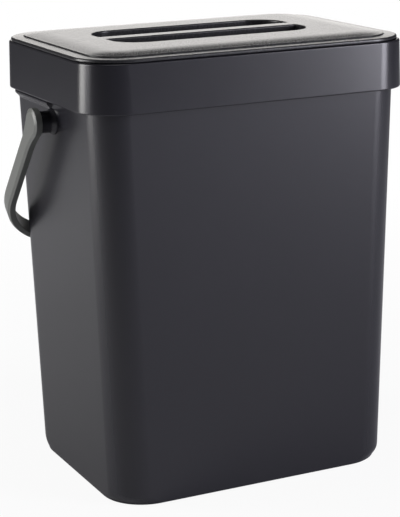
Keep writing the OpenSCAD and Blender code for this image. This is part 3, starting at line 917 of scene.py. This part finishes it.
class CADDY_OT_seal(bpy.types.Operator):
    """Model the lid's seal: a rubber ring with a rounded lower face"""
    bl_idname = "caddy.seal"
    bl_label = "Lid seal"

    def execute(self, context):
        shell = Shell()
        half_w, half_d, width, edge = SEAL[1].x, SEAL[1].y, 3.5 * MM, 0.7 * MM
        low, high = SEAL[0].z, SEAL[1].z
        corner_r = settings("lid").corner_r - (LID[1].x - half_w)
        profile = rounded([(0, high, 0), (0, low, edge), (width, low, edge), (width, high, 0)],
                          steps=6)
        rings = shell.loft(profile, half_w, half_d, parallel(corner_r))
        shell.skin(rings, closed=True)
        shell.piece("lid_seal_ring", "lid", "seal", finish_named("seal_rubber"), "lid_seal")
        return {"FINISHED"}


class CADDY_OT_pins(bpy.types.Operator):
    """Model the two hinge pins: drawn wire with chamfered ends"""
    bl_idname = "caddy.pins"
    bl_label = "Hinge pins"

    def execute(self, context):
        chamfer = 0.35 * MM
        for side in ("left", "right"):
            node = f"hinge_pin_{side}"
            low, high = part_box(node)
            radius = (high.z - low.z) / 2
            shell = Shell()
            shell.turned([(low.x, radius - chamfer), (low.x + chamfer, radius),
                          (high.x - chamfer, radius), (high.x, radius - chamfer)],
                         (low + high) / 2)
            shell.piece(f"pin_{side}", "collar", "pin", finish_named("drawn_steel"), node)
        return {"FINISHED"}


class CADDY_OT_bail(bpy.types.Operator):
    """Model the bail: two arms with eyes, wide bends, crossbar and the pegs it swings on"""
    bl_idname = "caddy.bail"
    bl_label = "Bail"

    # Steps round an eye, along a neck, an arm and a bend, and along half the crossbar
    EYE_STEPS, NECK_STEPS, ARM_STEPS, BEND_STEPS, BAR_STEPS = 18, 8, 8, 28, 6

    def execute(self, context):
        sizes = settings("bail")
        shell = Shell()
        lean = crossbar_lean()
        sin, cos = math.sin(lean), math.cos(lean)

        def place(x, along, across):
            return (x, PIVOT.y + along * sin + across * cos, PIVOT.z - along * cos + across * sin)

        stations = self.stations(sizes)
        thick, soft, bevel = sizes.strap_t, sizes.inner_bevel, sizes.bevel_w
        inner_flat, outer_flat = soft + 0.4 * MM, bevel + 0.8 * MM
        section = rounded([(0, inner_flat, 0), (0, 0, soft), (thick - sizes.bevel_h, 0, 0.35 * MM),
                           (thick, bevel, 1.2 * MM), (thick, outer_flat, 0)], steps=4)
        rings = []
        for height, inset in section:
            upper = [place(*self.spot(station, height, inset, 1)) for station in stations]
            lower = [place(*self.spot(station, height, inset, -1)) for station in stations[1:-1]]
            rings.append(shell.ring(upper + lower[::-1]))
        shell.skin(rings)
        for ring in (rings[0], rings[-1]):
            self.ladder(shell, ring, len(stations))
        self.pegs(shell, sizes)
        shell.piece("bail_strap", "bail", "strap", finish_named("strap_plastic"), "bail")
        return {"FINISHED"}

    def stations(self, sizes):
        """Stops along the strap from eye to eye: the inner face's point (x, along), the way out
        of it, the half width, and the edge's own direction (along, across)."""
        arm_x = BAIL[1].x - sizes.strap_t
        half, eye_r, neck_r = sizes.strap_w / 2, sizes.eye_r, sizes.neck_r
        straight = sizes.reach - sizes.bend_r
        inner_r = sizes.bend_r - sizes.strap_t
        flat = BAIL[1].x - sizes.bend_r
        centre = math.sqrt((eye_r + neck_r) ** 2 - (half + neck_r) ** 2)
        meet = math.atan2(half + neck_r, centre)
        right = []
        for angle in evenly(math.pi, meet, self.EYE_STEPS):
            away = (math.cos(angle), math.sin(angle))
            right.append(((arm_x, eye_r * away[0]), (1, 0), eye_r * away[1], away))
        for angle in evenly(meet, math.pi / 2, self.NECK_STEPS, first=1):
            away = (math.cos(angle), math.sin(angle))
            width = half + neck_r - neck_r * away[1]
            right.append(((arm_x, centre - neck_r * away[0]), (1, 0), width, away))
        for along in evenly(centre, straight, self.ARM_STEPS, first=1):
            right.append(((arm_x, along), (1, 0), half, (0, 1)))
        for angle in evenly(0, math.pi / 2, self.BEND_STEPS, first=1):
            out = (math.cos(angle), math.sin(angle))
            spot = (flat + inner_r * out[0], straight + inner_r * out[1])
            right.append((spot, out, half, (0, 1)))
        for x in evenly(flat, 0, self.BAR_STEPS, first=1):
            right.append(((x, straight + inner_r), (0, 1), half, (0, 1)))
        left = [((-spot[0], spot[1]), (-out[0], out[1]), width, away)
                for spot, out, width, away in reversed(right[:-1])]
        return right + left

    def spot(self, station, height, inset, side):
        """A point of the strap: height above its inner face, inset from one edge."""
        (x, along), out, width, away = station
        return (x + height * out[0], along + height * out[1] - inset * away[0],
                side * (width - inset * away[1]))

    def ladder(self, shell, ring, count):
        """Faces across the strap between the two edges of one of its faces."""
        upper = ring[:count]
        lower = [ring[0], *reversed(ring[count:]), ring[count - 1]]
        for i in range(count - 1):
            corners = (upper[i], upper[i + 1], lower[i + 1], lower[i])
            shell.faces.append(tuple(dict.fromkeys(corners)))

    def pegs(self, shell, sizes):
        """The pegs that turn in the bosses' sockets."""
        arm_x, sunk, least_r = BAIL[1].x - sizes.strap_t, 1 * MM, 0.3 * MM
        end = arm_x - sizes.peg_l
        profile = rounded([(arm_x + sunk, sizes.peg_r, 0), (end, sizes.peg_r, 0.6 * MM),
                           (end, least_r, 0)])
        for side in (-1, 1):
            shell.turned([(side * x, radius) for x, radius in profile], PIVOT)


class CADDY_OT_stage(bpy.types.Operator):
    """Set the pale floor, the soft lights, the room and the camera"""
    bl_idname = "caddy.stage"
    bl_label = "Stage"

    # Of each lamp: turn from the front in degrees, height, distance, size, power and tint
    LAMPS = {
        "left_panel": (-102, 0.6, 1.6, (0.6, 1.2), 8.5, (0.98, 0.97, 1)),
        "left_strip": (-118, 0.42, 1.1, (0.42, 0.8), 8.2, (1, 0.99, 0.97)),
        "right_panel": (42.5, 0.6, 1.7, (0.58, 1.2), 31, (0.91, 0.9, 1)),
        "rear_panel": (155, 0.42, 2.0, (0.9, 0.8), 4.6, (1, 0.975, 0.95)),
        "top_panel": (20, 1.7, 0.2, (1.2, 1.2), 4, (1, 1, 1)),
    }
    LAMP_AIM = Vector((0, 0, 0.12))

    # Height of a render in pixels, and how far the view is shifted in it
    RENDER_H = 517
    SHIFT_X, SHIFT_Y = -5.85, -12.06

    # How white the camera sees the floor near the caddy, how much whiter it grows in each
    # length further out, that length in metres, and where the growth starts, in such lengths
    NEAR_WHITE, GAIN, CHANGE_LENGTH, CHANGE_START = 0.93, 0.09, 0.7, 0.25

    def execute(self, context):
        sizes = settings("stage")
        context.scene.view_settings.view_transform = "Standard"
        self.camera(context, sizes)
        self.floor(sizes)
        self.room(context, sizes)
        for name, (turn, height, far, size, power, tint) in self.LAMPS.items():
            angle = math.radians(turn)
            place = Vector((far * math.sin(angle), -far * math.cos(angle), height))
            self.lamp(name, place, size, power, tint)
        return {"FINISHED"}

    def camera(self, context, sizes):
        turn, rise = sizes.camera_turn, sizes.camera_rise
        back = Vector((math.sin(turn) * math.cos(rise), -math.cos(turn) * math.cos(rise),
                       math.sin(rise)))
        upright = back.to_track_quat("Z", "Y").to_matrix()
        camera = placed("camera", bpy.data.cameras.new("camera"))
        camera.location = Vector((0, 0, sizes.aim_z)) + back * sizes.camera_far
        camera.rotation_euler = (upright @ Matrix.Rotation(sizes.camera_roll, 3, "Z")).to_euler()
        camera.data.lens = sizes.lens
        camera.data.sensor_width = 36
        camera.data.shift_x = self.SHIFT_X / self.RENDER_H
        camera.data.shift_y = self.SHIFT_Y / self.RENDER_H
        context.scene.camera = camera

    def floor(self, sizes):
        """A pale painted floor that the camera sees nearly white, but for a faint shadow."""
        finish = Finish("floor_paint")
        grain = finish.noise(4 * MM, detail=3)
        spot = finish.node("VectorMath", {"operation": "LENGTH"}, {0: finish.place()})
        far = Value(finish.tree, spot.outputs["Value"]) / self.CHANGE_LENGTH - self.CHANGE_START
        white_part = far.math("MAXIMUM", far, 0) * self.GAIN + self.NEAR_WHITE
        white_part = white_part.math("MINIMUM", white_part, 1)
        paint = finish.node("BsdfPrincipled", {}, {
            "Base Color": finish.mix(grain, shade(sizes.floor, 0.99), sizes.floor),
            "Roughness": 0.9, "Specular IOR Level": 0.1})
        white = finish.node("Emission", {}, {"Color": (1, 1, 1, 1), "Strength": 1})
        both = finish.node("MixShader", {}, {0: finish.seen() * white_part, 1: paint.outputs[0],
                                             2: white.outputs[0]})
        finish.node("OutputMaterial", {}, {"Surface": both.outputs[0]})
        half, corner_r = 6, 2
        shell = Shell()
        shell.cap(shell.ring((*spot, 0) for spot, _ in outline(half, half, corner_r, steps=8)))
        placed("floor", shell.mesh("floor", finish.material))

    def room(self, context, sizes):
        """Even light from all round, which the camera sees as plain white."""
        world = bpy.data.worlds.new("room")
        world.use_nodes = True
        walls = Nodes(world.node_tree)
        strength = walls.seen() * (1 - sizes.room) + sizes.room
        light = walls.node("Background", {}, {"Color": (1, 1, 1, 1), "Strength": strength})
        walls.node("OutputWorld", {}, {"Surface": light.outputs[0]})
        context.scene.world = world

    def lamp(self, name, place, size, power, tint):
        data = bpy.data.lights.new(name, "AREA")
        data.shape = "RECTANGLE"
        data.size, data.size_y = size
        data.energy = power
        data.color = tint
        lamp = placed(name, data)
        lamp.location = place
        lamp.rotation_euler = (place - self.LAMP_AIM).to_track_quat("Z", "Y").to_euler()


PIECES = (CADDY_OT_stage, CADDY_OT_bucket, CADDY_OT_collar, CADDY_OT_lid, CADDY_OT_pan,
          CADDY_OT_seal, CADDY_OT_pins, CADDY_OT_bail)


class CADDY_PT_panel(bpy.types.Panel):
    """The caddy's sizes, finishes and building steps"""
    bl_idname = "CADDY_PT_panel"
    bl_label = "Compost caddy"
    bl_space_type = "VIEW_3D"
    bl_region_type = "UI"
    bl_category = "Caddy"

    def draw(self, context):
        for name, group in SETTINGS.items():
            box = self.layout.box()
            box.label(text=name.capitalize())
            for entry in group.__annotations__:
                box.prop(settings(name), entry)
        for piece in PIECES:
            self.layout.operator(piece.bl_idname)


CLASSES = (*SETTINGS.values(), *PIECES, CADDY_PT_panel)


def register():
    for entry in CLASSES:
        bpy.utils.register_class(entry)
    for name, group in SETTINGS.items():
        setattr(bpy.types.Scene, "caddy_" + name, PointerProperty(type=group))


def unregister():
    for name in SETTINGS:
        delattr(bpy.types.Scene, "caddy_" + name)
    for entry in reversed(CLASSES):
        bpy.utils.unregister_class(entry)


def main():
    register()
    for piece in PIECES:
        family, step = piece.bl_idname.split(".")
        getattr(getattr(bpy.ops, family), step)()


if __name__ == "__main__":
    main()
